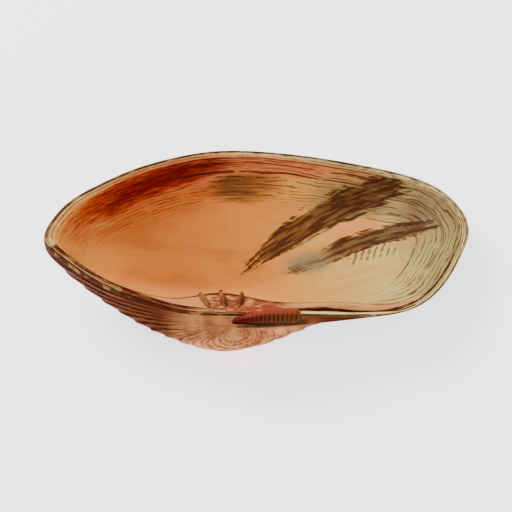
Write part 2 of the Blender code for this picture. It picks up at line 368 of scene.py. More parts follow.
@dataclass
class InnerSurface:
    """The flat rim, the hinge plate with its teeth, and the hollow."""

    margin: Margin
    outer: OuterSurface
    rim_width: float = 1.9 * MM
    # Extra width of the hinge plate and of its long part: how much, about which place, how far along.
    plate: tuple[float, float, float] = (4.4 * MM, -6.0 * MM, 10.0 * MM)
    lateral: tuple[float, float, float] = (2.1 * MM, 19.0 * MM, 13.0 * MM)
    wall: float = 2.0 * MM
    centre: tuple[float, float] = (1.0 * MM, 25.0 * MM)
    wall_slope: float = 2.0 * MM
    plate_slope: float = 1.1 * MM
    undercut: float = 2.2 * MM
    undercut_at: float = 0.13
    undercut_start: float = 0.08
    facing: tuple[float, float] = (0.45, 0.85)
    edge_round: float = 0.35 * MM
    round_width: float = 0.30 * MM
    groove: float = 0.12 * MM
    groove_across: Window = (0.25, 0.42, 0.55, 0.72)
    groove_hinge_fade: float = 0.8
    lateral_groove: float = 0.40 * MM
    lateral_along: Window = (5.0, 8.0, 30.0, 35.0)
    lateral_away: Window = (-0.6, 0.1, 0.4, 1.1)
    ripple: float = 0.045 * MM
    ripple_band: Window = (2.4, 3.4, 7.0, 11.0)
    ripple_spacing: float = 0.95
    ripple_wander: float = 1.3
    wanders: int = 3
    ray_depth: float = 0.16 * MM
    scar_depth: float = 0.14 * MM
    # Middle and half sizes of each muscle scar, in millimetres.
    scars: tuple[tuple[float, ...], ...] = ((-31.0, 23.5, 4.2, 5.6), (38.0, 24.5, 4.6, 6.2))
    settle_run: float = 1.5 * MM
    tooth_reach: float = 1.2 * MM
    teeth: tuple[Tooth, ...] = (
        Tooth(-8.8, 4.9, 2.5, 0.60, 1.15, 114.0),
        Tooth(-5.0, 5.2, 2.7, 0.65, 1.25, 98.0),
        Tooth(-1.2, 4.9, 2.5, 0.60, 1.10, 76.0),
        Tooth(17.5, 1.6, 6.5, 0.50, 0.80, -2.0),
    )
    tree_around: int = 96
    tree_rings: int = 60
    tree: BVHTree = field(init=False)

    def __post_init__(self) -> None:
        """Make a search tree of the outer surface, to find its depth under any point."""
        around, rings = self.tree_around, self.tree_rings
        share = np.arange(around) / around
        roots = np.linspace(1.0, self.outer.smallest_ridge_root, rings)
        points = np.concatenate([self.outer.points(share, self.outer.turn(root)) for root in roots])
        faces = []
        for start in range(0, around * (rings - 1), around):
            for place in range(around):
                beside = start + (place + 1) % around
                faces.append((start + place, beside, beside + around, start + place + around))
        self.tree = BVHTree.FromPolygons([tuple(point) for point in points], faces)

    def hinge_share(self, share: Array) -> Array:
        """1 where the margin is the hinge side, 0 where it isn't."""
        start, full = self.facing
        return smoothstep((self.margin.inward(share)[:, 1] - start) / (full - start))

    def width(self, share: Array) -> Array:
        """Width of the flat rim, which widens to the hinge plate along the hinge side.

        Args:
            share: Places round the margin.

        Returns:
            Widths in metres.
        """
        along = self.margin.at(share)[:, 0]
        extra = [
            width * np.exp(-(((along - middle) / spread) ** 2))
            for width, middle, spread in (self.plate, self.lateral)
        ]
        return self.rim_width + sum(extra) * self.hinge_share(share)

    def rim_relief(self, points: Array, across: Array, share: Array) -> Array:
        """Shallow grooves of the rim and the long groove of the hinge plate.

        Args:
            points: Points in the margin's frame, in metres.
            across: Shares of the rim's width.
            share: Places round the margin.

        Returns:
            Heights in metres, below zero in a groove.
        """
        shallow = self.groove * between(across, *self.groove_across)
        hinge = self.hinge_share(share)
        along, away = points[:, 0] / MM, points[:, 1] / MM
        run = between(along, *self.lateral_along) * hinge
        long_groove = self.lateral_groove * run * between(away, *self.lateral_away)
        return -shallow * (1.0 - self.groove_hinge_fade * hinge) - long_groove

    def hollow_relief(self, points: Array, travel: Array, share: Array) -> Array:
        """Ripples parallel to the margin, two radial folds and two muscle scars.

        Args:
            points: Points in the margin's frame, in metres.
            travel: Distances in from the margin, in millimetres.
            share: Places round the margin.

        Returns:
            Heights in metres.
        """
        open_side = 1.0 - self.hinge_share(share)
        wander = self.ripple_wander * np.sin(TURN * share * self.wanders)
        waves = np.sin(TURN * travel / self.ripple_spacing + wander)
        height = self.ripple * waves * between(travel, *self.ripple_band) * open_side
        height = height - self.ray_depth * (Markings.fold_band(points / MM, 0) + Markings.fold_band(points / MM, 1))
        for scar in self.scars:
            height = height - self.scar_depth * smoothstep((1.0 - from_oval(points / MM, *scar)) * 4.0)
        return height

    def raise_teeth(self, points: Array) -> Array:
        """Lift the points that lie under a tooth's surface onto it.

        Args:
            points: Points in the margin's frame, in metres.

        Returns:
            The same points, lifted.
        """
        near_top = points[:, 2] > -self.tooth_reach
        for tooth in self.teeth:
            top = tooth.top(points)
            points[:, 2] = np.where(near_top & (top > points[:, 2]), top, points[:, 2])
        return points

    def rim_ring(self, share: Array, across: float) -> Ring:
        """One ring of the rim, at a share of its width.

        Args:
            share: Places round the margin.
            across: The share of the rim's width.

        Returns:
            The ring.
        """
        width = self.width(share)
        flat = self.margin.at(share) + self.margin.inward(share) * (width * across)[:, None]
        points = np.column_stack((flat, np.zeros(len(share))))
        portion = np.full(len(share), across)
        points[:, 2] += self.rim_relief(points, portion, share)
        return Ring(share, self.raise_teeth(points), width * across / MM, portion)

    def edge_ring(self, share: Array, part: float) -> Ring:
        """One ring of the rounded outer edge, from the outer surface over to the rim's flat.

        Args:
            share: Places round the margin.
            part: How far over the edge, from 0 to 1.

        Returns:
            The ring.
        """
        start = self.outer.points(share, self.outer.edge_turn(share))
        corner = np.column_stack((self.margin.at(share), np.zeros(len(share))))
        inward = self.margin.inward(share) * self.round_width
        end = corner + np.column_stack((inward, np.zeros(len(share))))
        points = start * (1.0 - part) ** 2 + corner * (2.0 * part * (1.0 - part)) + end * part**2
        travel = np.full(len(share), self.round_width / MM * part**2)
        return Ring(share, points, travel, travel * MM / self.width(share))

    def hollow_ring(self, share: Array, step: float) -> Ring:
        """One ring of the hollow, at a share of the way from the rim to the hollow's middle.

        Args:
            share: Places round the margin.
            step: The share of the way.

        Returns:
            The ring.
        """
        inward = self.margin.inward(share)
        hinge = self.hinge_share(share)
        rim = self.margin.at(share) + inward * self.width(share)[:, None]
        flat = rim + (np.array(self.centre) - rim) * step
        run = np.linalg.norm(flat - rim, axis=1)
        under = self.undercut * hinge * (step / self.undercut_at)
        under = under * math.exp(1.0 - step / self.undercut_at)
        flat = flat - inward * (under * smoothstep(step / self.undercut_start))[:, None]
        slope = self.plate_slope * hinge + self.wall_slope * (1.0 - hinge)
        eased = run**2 / (run + self.edge_round)
        below = Vector((0.0, 0.0, -1.0))
        hits = [self.tree.ray_cast(Vector((*place, 0.0)) + below, -below)[0] for place in flat]
        depth = np.array([max(-hit.z - self.wall, 0.0) if hit else 0.0 for hit in hits])
        points = np.column_stack((flat, -depth * (1.0 - np.exp(-eased / slope))))
        travel = self.margin.distance(flat) / MM
        settled = smoothstep(run / self.settle_run)
        points[:, 2] += self.hollow_relief(points, travel, share) * settled
        across = travel * MM / self.width(share)
        return Ring(share, self.raise_teeth(points), travel, np.maximum(across, 1.0 + 8.0 * step))


@dataclass
class RestPose:
    """How the valve lies: turned from the flat of its margin until it rests by itself."""

    tilt_x: float = math.radians(-4.6)
    tilt_y: float = math.radians(6.6)
    shift_mm: tuple[float, float, float] = (-2.94797, -22.75684, 15.13159)

    def turned(self) -> Matrix:
        """The turn from the margin's frame to the frame of the part."""
        return Euler((self.tilt_x, self.tilt_y, 0.0)).to_matrix()

    def place(self, points: Array) -> Array:
        """Points of the margin's frame in the frame of the part."""
        return points @ np.array(self.turned()).T + np.array(self.shift_mm) * MM


class Markings:
    """Where each colour of the inside lies, by place round the margin, distance in and flat."""

    # Each fold, which the finish darkens with painted shade: the places on its middle line and its half
    # width, in millimetres.
    RAY_LINES = (
        (
            ((-1.9, 22.6), (4.1, 28.3), (8.5, 30.8), (15.6, 34.4),
             (21.8, 36.6), (28.3, 37.7), (34.7, 37.9), (41.5, 36.0)),
            2.7,
        ),
        (
            ((7.0, 22.0), (13.6, 24.0), (20.0, 26.1), (23.9, 27.2),
             (27.5, 27.9), (34.0, 27.8), (38.1, 27.4), (45.2, 26.3)),
            1.8,
        ),
    )
    # The red flush and its core by place round the margin: strength, or millimetres in from it.
    FLUSH_REACH = (
        (-0.04, 0.0), (0.0, 0.30), (0.05, 0.62), (0.09, 0.9), (0.12, 1.0), (0.21, 1.0),
        (0.235, 0.80), (0.27, 0.64), (0.31, 0.56), (0.36, 0.34), (0.41, 0.0),
    )
    FLUSH_UPPER = ((0.0, 2.9), (0.07, 2.1), (0.12, 1.6), (0.21, 1.7), (0.37, 1.7))
    FLUSH_LOWER = (
        (-0.02, 4.6), (0.03, 7.0), (0.072, 9.2), (0.12, 8.2), (0.20, 7.0),
        (0.225, 6.0), (0.26, 5.9), (0.30, 5.8), (0.37, 4.8),
    )
    CORE_REACH = (
        (0.04, 0.0), (0.10, 0.8), (0.13, 1.0), (0.205, 1.0), (0.235, 0.50), (0.27, 0.2), (0.32, 0.0),
    )
    CORE_MIDDLE = ((0.05, 5.6), (0.11, 4.3), (0.16, 3.9), (0.21, 3.5), (0.3, 2.8))
    CORE_SPREAD = ((0.2, 1.5), (0.24, 0.7))
    # Parts of the margin, as windows round it.
    PARTS = {
        "top_left": (-0.04, 0.02, 0.19, 0.23),
        "far_side": (0.12, 0.20, 0.36, 0.42),
        "far_edge": (0.17, 0.21, 0.34, 0.40),
        "right_end": (0.24, 0.34, 0.60, 0.66),
        "checks": (0.40, 0.44, 0.56, 0.61),
        "lower_right": (0.50, 0.56, 0.72, 0.75),
        "left_hinge": (0.80, 0.83, 0.95, 0.99),
        "brown_rim": (0.82, 0.85, 0.905, 0.95),
    }
    # Bands of the inside, as windows round the margin and in from it in millimetres.
    BANDS = {
        "tinge": ((0.06, 0.14, 0.36, 0.42), (0.6, 1.2, 3.0, 4.0)),
        "olive": ((0.18, 0.225, 0.238, 0.315), (3.6, 5.4, 7.6, 12.8)),
        "grey": ((0.30, 0.37, 0.46, 0.53), (1.4, 2.4, 8.0, 13.0)),
        "lines": ((-0.06, -0.02, 0.40, 0.46), (1.8, 2.4, 7.5, 12.0)),
        "nested": ((0.33, 0.41, 0.60, 0.68), (1.6, 2.2, 7.0, 14.0)),
    }
    # Small regions, as windows along and away in the flat, in millimetres.
    REGIONS = {
        # Where short dark strokes of painted shade hatching lie, under the lower fold.
        "hatch": ((21.0, 23.5, 31.5, 34.5), (20.5, 22.3, 25.8, 27.5)),
        "blush": ((-5.0, -3.0, 10.0, 13.0), (-9.0, -8.0, 2.2, 3.4)),
    }
    # Soft patches: middle and half sizes in the flat, in millimetres.
    OVALS = {
        "pink": (24.5, 31.0, 6.0, 2.2),
        "green": (14.4, 24.4, 5.0, 2.8),
        # Painted shade in the deepest part of the hollow.
        "deep": (-9.0, 29.0, 20.0, 8.0),
        "light": (-14.0, 12.5, 21.0, 7.0),
    }

    @staticmethod
    def near_hinge(share: Array) -> Array:
        """1 on the part of the margin beside the hinge plate, 0 away from it."""
        return between(np.mod(share, 1.0), 0.71, 0.75, 0.86, 0.90)

    @staticmethod
    def upright(places: Array, number: int) -> Array:
        """Where the middle of a fold lies at each point's place along the shell, in millimetres."""
        knots = np.array(Markings.RAY_LINES[number][0])
        return np.interp(places[:, 0], knots[:, 0], knots[:, 1])

    @staticmethod
    def fold_band(places: Array, number: int, fade: float = 5.0) -> Array:
        """One of the two folds that fan out to the right end, which the finish darkens with painted shade.

        Args:
            places: Points in the margin's frame, in millimetres.
            number: Which fold, 0 for the upper one.
            fade: Over how many millimetres its outer end fades.

        Returns:
            Its strength from 0 to 1 at each point.
        """
        line, half_width = Markings.RAY_LINES[number]
        start, end = line[0][0], line[-1][0]
        ends = between(places[:, 0], start - 2.0, start + 12.0, end - fade, end)
        gap = np.abs(places[:, 1] - Markings.upright(places, number))
        gap = gap / (half_width * (0.35 + 0.65 * ends))
        return np.sqrt(ends) * np.clip(1.5 - 0.75 * gap, 0.0, 1.0)

    @staticmethod
    def beside_rays(places: Array) -> Array:
        """Positions that run along and beside the nearer fold, in millimetres.

        Args:
            places: Points in the margin's frame, in millimetres.

        Returns:
            Along, beside and a number for the fold, for each point.
        """
        gaps = np.stack([places[:, 1] - Markings.upright(places, number) for number in (0, 1)], axis=1)
        nearer = np.argmin(np.abs(gaps), axis=1)
        gap = np.take_along_axis(gaps, nearer[:, None], axis=1)[:, 0]
        return np.column_stack((places[:, 0], gap, nearer * 20.0))

    def fields(self, share: Array, travel: Array, places: Array) -> dict[str, Array]:
        """Work out every marking's strength at every point.

        Args:
            share: Places round the margin, from the left end over the far side.
            travel: Distance in from the margin in millimetres, below zero on the outside.
            places: Points in the margin's frame, in millimetres.

        Returns:
            One array from 0 to 1 for each marking's name.
        """
        left = np.mod(share + 0.1, 1.0) - 0.1
        along, away = places[:, 0], places[:, 1]
        marks = {name: between(left, *part) for name, part in self.PARTS.items()}
        for name, (beside, inwards) in self.BANDS.items():
            marks[name] = between(left, *beside) * between(travel, *inwards)
        for name, (long, wide) in self.REGIONS.items():
            marks[name] = between(along, *long) * between(away, *wide)
        marks |= {name: smoothstep(1.5 - from_oval(places, *oval)) for name, oval in self.OVALS.items()}
        marks["far_side"] *= travel > 1.2
        marks["checks"] *= travel > 1.0
        marks["light"] *= travel > 0.0
        marks["left_hinge"] += left < -0.01
        marks["near_hinge"] = self.near_hinge(share)
        reach, upper, lower = (
            steps(left, table) for table in (self.FLUSH_REACH, self.FLUSH_UPPER, self.FLUSH_LOWER)
        )
        flush = reach * smoothstep((travel - upper) / 0.8)
        marks["flush"] = flush * smoothstep((lower - travel) / (0.5 * (lower - upper)))
        from_core = (travel - steps(left, self.CORE_MIDDLE)) / steps(left, self.CORE_SPREAD)
        marks["core"] = steps(left, self.CORE_REACH) * np.exp(-(from_core**2))
        marks["tinge"] *= reach
        glow = between(left, -0.03, 0.05, 0.20, 0.23) * smoothstep((travel - lower + 3.0) / 2.5)
        marks["glow"] = glow * smoothstep((lower + 6.0 - travel) / 6.0)
        left_end = between(left, -0.09, -0.05, 0.035, 0.075)
        marks["lines"] *= 1.0 - left_end * smoothstep((travel - 3.5) / 3.0)
        # Painted shade along the two folds.
        marks["rays"] = np.maximum(self.fold_band(places, 0, 16.0), self.fold_band(places, 1, 9.0)) * (travel > 1.5)
        marks["long_plate"] = between(along, 6.0, 11.0, 35.0, 41.0) * (left > 0.62) * (left < 0.80)
        tooth_tops = np.max([tooth.top(places * MM) for tooth in InnerSurface.teeth[:3]], axis=0)
        marks["teeth"] = smoothstep(tooth_tops / (0.5 * MM) + 0.4)
        return marks


def arithmetic(operation: str, turned: bool = False) -> Callable[["Value", "Value | float"], "Value"]:
    """A Python operator for shader values.

    Args:
        operation: Blender's name of the Math node's operation.
        turned: Whether the other term stands first, as in the reflected operators.

    Returns:
        The operator, to be named in the body of Value.
    """

    def joined(value: "Value", other: "Value | float") -> "Value":
        """One Math node of the two terms."""
        return value.maths(operation, *((other, value) if turned else (value, other)))

    return joined


@dataclass(frozen=True)
class Value:
    """A number that varies over a surface, for plain Python arithmetic."""

    graph: "Graph"
    socket: bpy.types.NodeSocket

    def maths(self, operation: str, *terms: "Value | float") -> "Value":
        """One Math node of an operation on the terms."""
        node = self.graph.node("ShaderNodeMath", {"operation": operation}, dict(enumerate(terms)))
        return Value(self.graph, node.outputs[0])

    __add__ = arithmetic("ADD")
    __radd__ = arithmetic("ADD", turned=True)
    __sub__ = arithmetic("SUBTRACT")
    __rsub__ = arithmetic("SUBTRACT", turned=True)
    __mul__ = arithmetic("MULTIPLY")
    __rmul__ = arithmetic("MULTIPLY", turned=True)
    __truediv__ = arithmetic("DIVIDE")

    def size(self) -> "Value":
        """The value without its sign."""
        return self.maths("ABSOLUTE", self)

    def wave(self) -> "Value":
        """Its sine, brought to a share from 0 to 1."""
        return self.maths("SINE", self) * 0.5 + 0.5

    def fraction(self) -> "Value":
        """What is left after its whole part."""
        return self.maths("FRACT", self)

    def clipped(self) -> "Value":
        """The value held between 0 and 1."""
        return self.maths("MAXIMUM", self.maths("MINIMUM", self, 1.0), 0.0)

    def rise(self, start: float, end: float) -> "Value":
        """Ease from 0 to 1 while the value goes from start to end.

        Args:
            start: Where it begins to rise.
            end: Where it is full.

        Returns:
            A share from 0 to 1.
        """
        node = self.graph.node(
            "ShaderNodeMapRange",
            {"interpolation_type": "SMOOTHSTEP"},
            {"Value": self, "From Min": start, "From Max": end},
        )
        return Value(self.graph, node.outputs["Result"])

    def near(self, place: float, half_width: float, soft: float) -> "Value":
        """A line: 1 within half_width of a place, fading over soft beyond it."""
        return 1.0 - (self - place).size().rise(half_width, half_width + soft)


@dataclass(frozen=True)
class Tint:
    """A colour that varies over a surface."""

    graph: "Graph"
    socket: bpy.types.NodeSocket

    def towards(self, *coats: "tuple[Tint | Paint, Value | float]") -> "Tint":
        """This colour with coats of others laid over it.

        Args:
            coats: For each coat, its colour and how much it covers, from 0 to 1.

        Returns:
            The blended colour.
        """
        colour = self
        for coat, share in coats:
            settings = {"data_type": "RGBA", "clamp_factor": True}
            node = self.graph.node("ShaderNodeMix", settings, {0: share, 6: colour, 7: coat})
            colour = Tint(self.graph, node.outputs[2])
        return colour


@dataclass(frozen=True)
class Place:
    """A position that varies over a surface."""

    graph: "Graph"
    socket: bpy.types.NodeSocket

    def part(self, axis: str) -> Value:
        """One part of the position, X, Y or Z."""
        node = self.graph.node("ShaderNodeSeparateXYZ", {}, {0: self})
        return Value(self.graph, node.outputs[axis])

    def noise(
        self, scale: float | tuple[float, float, float], detail: float = 3.0, roughness: float = 0.55
    ) -> Value:
        """Soft random values about one half.

        Args:
            scale: What the position is multiplied by, one number or one for each of its parts.
            detail: How many finer layers are laid over the first.
            roughness: How strong the finer layers are.

        Returns:
            The values.
        """
        sizes = scale if isinstance(scale, tuple) else (scale, scale, scale)
        scaled = self.graph.node("ShaderNodeVectorMath", {"operation": "MULTIPLY"}, {0: self, 1: sizes})
        place = Place(self.graph, scaled.outputs[0])
        sockets = {"Vector": place, "Scale": 1.0, "Detail": detail, "Roughness": roughness}
        return Value(self.graph, self.graph.node("ShaderNodeTexNoise", {}, sockets).outputs[0])


class Graph:
    """The node tree of one material."""

    def __init__(self, name: str) -> None:
        """Start a material with one Principled shader.

        Args:
            name: The material's name.
        """
        self.material = bpy.data.materials.new(name)
        self.material.use_nodes = True
        self.tree = self.material.node_tree
        self.shader = self.tree.nodes["Principled BSDF"]

    def plug(self, socket: bpy.types.NodeSocket, value: object) -> None:
        """Link a value to a socket, or set the socket to a constant.

        Args:
            socket: The input socket.
            value: A varying value or a constant.
        """
        if isinstance(value, (Value, Tint, Place)):
            self.tree.links.new(value.socket, socket)
        else:
            socket.default_value = value

    def node(
        self, kind: str, settings: Mapping[str, object], sockets: Mapping[str | int, object]
    ) -> bpy.types.Node:
        """Add one node.

        Args:
            kind: Blender's type name of the node.
            settings: The node's own settings, set first; "stops" are a ramp's (place, colour) rows.
            sockets: Values or links of its input sockets, by name or number.

        Returns:
            The new node.
        """
        made = self.tree.nodes.new(kind)
        for name, value in settings.items():
            if name != "stops":
                setattr(made, name, value)
                continue
            ramp = made.color_ramp
            while len(ramp.elements) < len(value):
                ramp.elements.new(1.0)
            for element, (place, colour) in zip(ramp.elements, value):
                element.position = place
                element.color = colour
        for name, value in sockets.items():
            self.plug(made.inputs[name], value)
        return made

    def field(self, name: str) -> Value:
        """A number that the mesh holds at each point."""
        return Value(self, self.node("ShaderNodeAttribute", {"attribute_name": name}, {}).outputs["Fac"])

    def place(self, name: str) -> Place:
        """A position that the mesh holds at each point."""
        return Place(self, self.node("ShaderNodeAttribute", {"attribute_name": name}, {}).outputs["Vector"])

    def ramp(self, value: Value, stops: Sequence[tuple[float, Paint]]) -> Tint:
        """A colour read from a row of stops."""
        node = self.node("ShaderNodeValToRGB", {"stops": stops}, {0: value})
        return Tint(self, node.outputs[0])

    def bump(self, height: Value, distance: float, strength: float) -> None:
        """Give the surface fine relief.

        Args:
            height: The relief, from 0 to 1.
            distance: How high 1 stands, in metres.
            strength: How strongly it shows.
        """
        sockets = {"Height": height, "Distance": distance, "Strength": strength}
        node = self.node("ShaderNodeBump", {}, sockets)
        self.tree.links.new(node.outputs[0], self.shader.inputs["Normal"])

    def finish(self, colour: Tint, roughness: Value, constants: Mapping[str, object]) -> bpy.types.Material:
        """Plug in the colour and roughness, set the other sockets, and return the material.

        Args:
            colour: The base colour.
            roughness: The roughness.
            constants: Other sockets by name.

        Returns:
            The finished material.
        """
        self.plug(self.shader.inputs["Base Color"], colour)
        self.plug(self.shader.inputs["Roughness"], roughness)
        for name, value in constants.items():
            self.shader.inputs[name].default_value = value
        return self.material


class ShellNodes(NamedTuple):
    """The shell material's nodes, with the positions and the travel that the valve's mesh holds."""

    graph: Graph
    flow: Place
    flat: Place
    travel: Value


@dataclass(frozen=True)
class RimLine:
    """One thin line that runs along the rim: the part of the rim it lies on, where and how strong."""

    part: str
    place: float
    half_width: float
    colour: Paint
    strength: float


INK = paint(54, 24, 8)
MAROON = paint(60, 10, 6)


@dataclass(frozen=True)
class ShellFinish:
    """The coloured inside, pale rim and banded outside of the valve."""

    inside: tuple[tuple[float, Paint], ...] = (
        (-44.0, paint(242, 168, 72)), (-35.0, paint(226, 142, 58)), (-24.0, paint(208, 116, 44)),
        (-10.0, paint(202, 114, 45)), (4.0, paint(210, 128, 52)), (16.0, paint(204, 146, 70)),
        (30.0, paint(206, 176, 102)), (40.0, paint(166, 146, 92)), (49.0, paint(144, 124, 80)),
    )
    salmon: Paint = paint(198, 86, 38)
    faded_salmon: Paint = paint(202, 124, 74)
    red: Paint = paint(146, 34, 12)
    dark_red: Paint = paint(108, 4, 1)
    ember: Paint = paint(180, 84, 32)
    olive: Paint = paint(88, 54, 28)
    grey: Paint = paint(124, 94, 59)
    pink: Paint = paint(226, 138, 74)
    green: Paint = paint(112, 108, 82)
    light: Paint = paint(240, 160, 78)
    # Colour of the painted shade in the deepest part of the hollow.
    shade: Paint = paint(130, 66, 28)
    # Colour of the painted shade along the two folds.
    fold_band: Paint = paint(84, 48, 25)
    cream: Paint = paint(240, 208, 132)
    moss: Paint = paint(132, 108, 74)
    plate: Paint = paint(208, 134, 78)
    plate_red: Paint = paint(116, 34, 24)
    plate_pink: Paint = paint(150, 62, 42)
    lip_brown: Paint = paint(142, 80, 46)
    tinge: Paint = paint(196, 116, 74)
    warm_lip: Paint = paint(238, 166, 96)
    brown: Paint = paint(86, 34, 15)
    dark_brown: Paint = paint(42, 13, 5)
    tan: Paint = paint(112, 62, 31)
    rosy: Paint = paint(206, 138, 86)
    umbo_red: Paint = paint(64, 14, 8)
    blush: Paint = paint(138, 72, 42)
    rim_lines: tuple[RimLine, ...] = (
        RimLine("all", 0.11, 0.13, INK, 0.95),
        RimLine("top_left", 0.58, 0.21, INK, 0.95),
        RimLine("top_left", 1.05, 0.07, INK, 0.80),
        RimLine("top_left", 1.58, 0.12, INK, 0.85),
        RimLine("far_edge", 0.52, 0.17, INK, 0.92),
        RimLine("right_end", 0.62, 0.09, INK, 0.80),
        RimLine("right_end", 1.15, 0.07, INK, 0.70),
        RimLine("right_end", 1.62, 0.10, INK, 0.80),
        RimLine("lower_right", 0.42, 0.12, INK, 0.85),
        # Painted shade under the rim's inner edge at the lower right.
        RimLine("lower_right", 1.72, 0.26, MAROON, 0.95),
        RimLine("left_hinge", 0.50, 0.22, MAROON, 0.97),
        RimLine("left_hinge", 1.02, 0.08, INK, 0.85),
        RimLine("left_hinge", 1.50, 0.32, MAROON, 0.97),
        RimLine("near_hinge", 0.55, 0.12, MAROON, 0.85),
    )
    far_lines: tuple[tuple[float, float], ...] = ((2.35, 0.07), (3.15, 0.05), (4.50, 0.09))

    def inside_colour(self, nodes: ShellNodes) -> Tint:
        """The colours of the hollow.

        Args:
            nodes: The material's nodes and positions.

        Returns:
            The colour.
        """
        graph, flow, flat, travel = nodes
        mark = graph.field
        cloud = flat.noise(0.13, 4.0)
        soft = flat.noise((0.05, 0.17, 0.10), 4.0)
        open_part = 1.0 - travel.rise(14.0, 20.0)
        streak = (flow.noise((0.12, 0.12, 1.7), 4.0, 0.6) - 0.5) * open_part + 0.5
        fine = flow.noise((0.28, 0.28, 4.2), 3.0, 0.6)
        first, last = self.inside[0][0], self.inside[-1][0]
        stops = [((place - first) / (last - first), colour) for place, colour in self.inside]
        along = (flat.part("X") + (cloud - 0.5) * 12.0 - first) / (last - first)
        olive = (mark("olive") * 1.7 + (streak - 0.5) * 2.0 + (cloud - 0.5) * 1.0 - 0.42).clipped()
        flush, core, faded = mark("flush"), mark("core"), mark("far_edge")
        edge = (flush * 1.7 + (streak - 0.5) * 1.8 - 0.22).clipped()
        reddened = (flush * 1.25 + core * 0.4 + (fine - 0.5) * 2.8 - 0.42).clipped() * (1.0 - faded * 0.35)
        colour = graph.ramp(along, stops).towards(
            (self.ember, soft.rise(0.46, 0.70) * 0.32),
            # Painted shade in the deepest part of the hollow.
            (self.shade, mark("deep") * (0.25 + 0.6 * soft.rise(0.38, 0.66)) * 0.5),
            (self.ember, mark("glow") * (0.5 + 0.5 * streak.rise(0.42, 0.58))),
            (self.grey, mark("grey") * (0.65 + 0.35 * cloud.rise(0.4, 0.6))),
            (self.olive, olive * 0.88),
            (self.light, mark("light") * 0.75),
            (self.pink, mark("pink") * 0.8),
            (self.green, mark("green") * (0.75 + 0.5 * (cloud - 0.4))),
            (self.salmon, edge),
            (self.faded_salmon, edge * faded * 0.75),
            (self.red, edge * reddened),
            (self.dark_red, (core * 1.35 + (fine - 0.5) * 2.4 - 0.40).clipped() * 0.95),
        )
        return self.inside_strokes(nodes, self.inside_lines(nodes, colour))

    def inside_lines(self, nodes: ShellNodes, colour: Tint) -> Tint:
        """Fine growth lines, laid over the hollow's colours.

        Args:
            nodes: The material's nodes and positions.
            colour: The colours so far.

        Returns:
            The colours with the lines.
        """
        graph, flow, _, travel = nodes
        lines, nested = graph.field("lines"), graph.field("nested")
        fine = flow.noise((0.28, 0.28, 4.2), 3.0, 0.6)
        warp = flow.noise((0.10, 0.10, 0.4), 2.0) - 0.5
        broken = flow.noise((0.20, 0.20, 1.1), 2.0)
        close = (travel * (TURN / 0.64) + warp * 14.0).wave().rise(0.70, 0.97) * broken.rise(0.42, 0.55)
        wide = (travel * (TURN / 0.98) + warp * 16.0).wave().rise(0.74, 0.97) * broken.rise(0.33, 0.48)
        colour = colour.towards(
            (MAROON, lines * close * 0.72),
            (INK, nested * wide * 0.80),
            (INK, fine.rise(0.62, 0.70) * (lines * 0.45 + nested * 0.35)),
        )
        drift = travel + warp * 0.9
        far_side = graph.field("far_side") * broken.rise(0.32, 0.42) * 0.85
        for place, half_width in self.far_lines:
            colour = colour.towards((MAROON, drift.near(place, half_width, 0.10) * far_side))
        drift = travel + warp * 2.0
        checks = drift.near(5.6, 0.10, 0.14) + drift.near(10.8, 0.10, 0.14)
        checks = (checks * graph.field("checks") * broken.rise(0.34, 0.44)).clipped()
        return colour.towards((INK, checks * 0.75))

    def inside_strokes(self, nodes: ShellNodes, colour: Tint) -> Tint:
        """Short slanting strokes of painted shade hatching and the painted shade of the two folds, laid
        over the hollow's colours.

        Args:
            nodes: The material's nodes and positions.
            colour: The colours so far.

        Returns:
            The colours with the strokes.
        """
        graph, flow, flat, travel = nodes
        broken = flow.noise((0.20, 0.20, 1.1), 2.0)
        slant = flat.part("X") * 4.4 - flat.part("Y") * 1.5 + (broken - 0.5) * 5.0
        strokes = slant.wave().rise(0.50, 0.80) * flat.noise(0.5).rise(0.42, 0.52)
        middle = travel.rise(15.0, 21.0)
        along_ray = graph.place("beside").noise((0.16, 1.05, 1.0), 4.0)
        notches = flow.noise((0.24, 0.24, 1.3), 2.0) * (1.0 - middle) + flat.noise(0.9) * middle
        ragged = along_ray * 0.62 + notches * 0.38
        # Painted shade along the two folds, with ragged edges and darker middle strokes.
        dark = (graph.field("rays") * 1.5 + (ragged - 0.5) * 3.6 - 0.52).rise(0.08, 0.60)
        greenish = graph.field("green")
        return colour.towards(
            # Painted shade hatching: short slanting dark strokes.
            (INK, graph.field("hatch") * strokes * 0.7),
            (self.fold_band, dark * (1.0 - greenish * 0.8) * 0.85),
            (INK, dark * along_ray.rise(0.44, 0.56) * (1.0 - greenish * 0.3) * 0.8),
        )

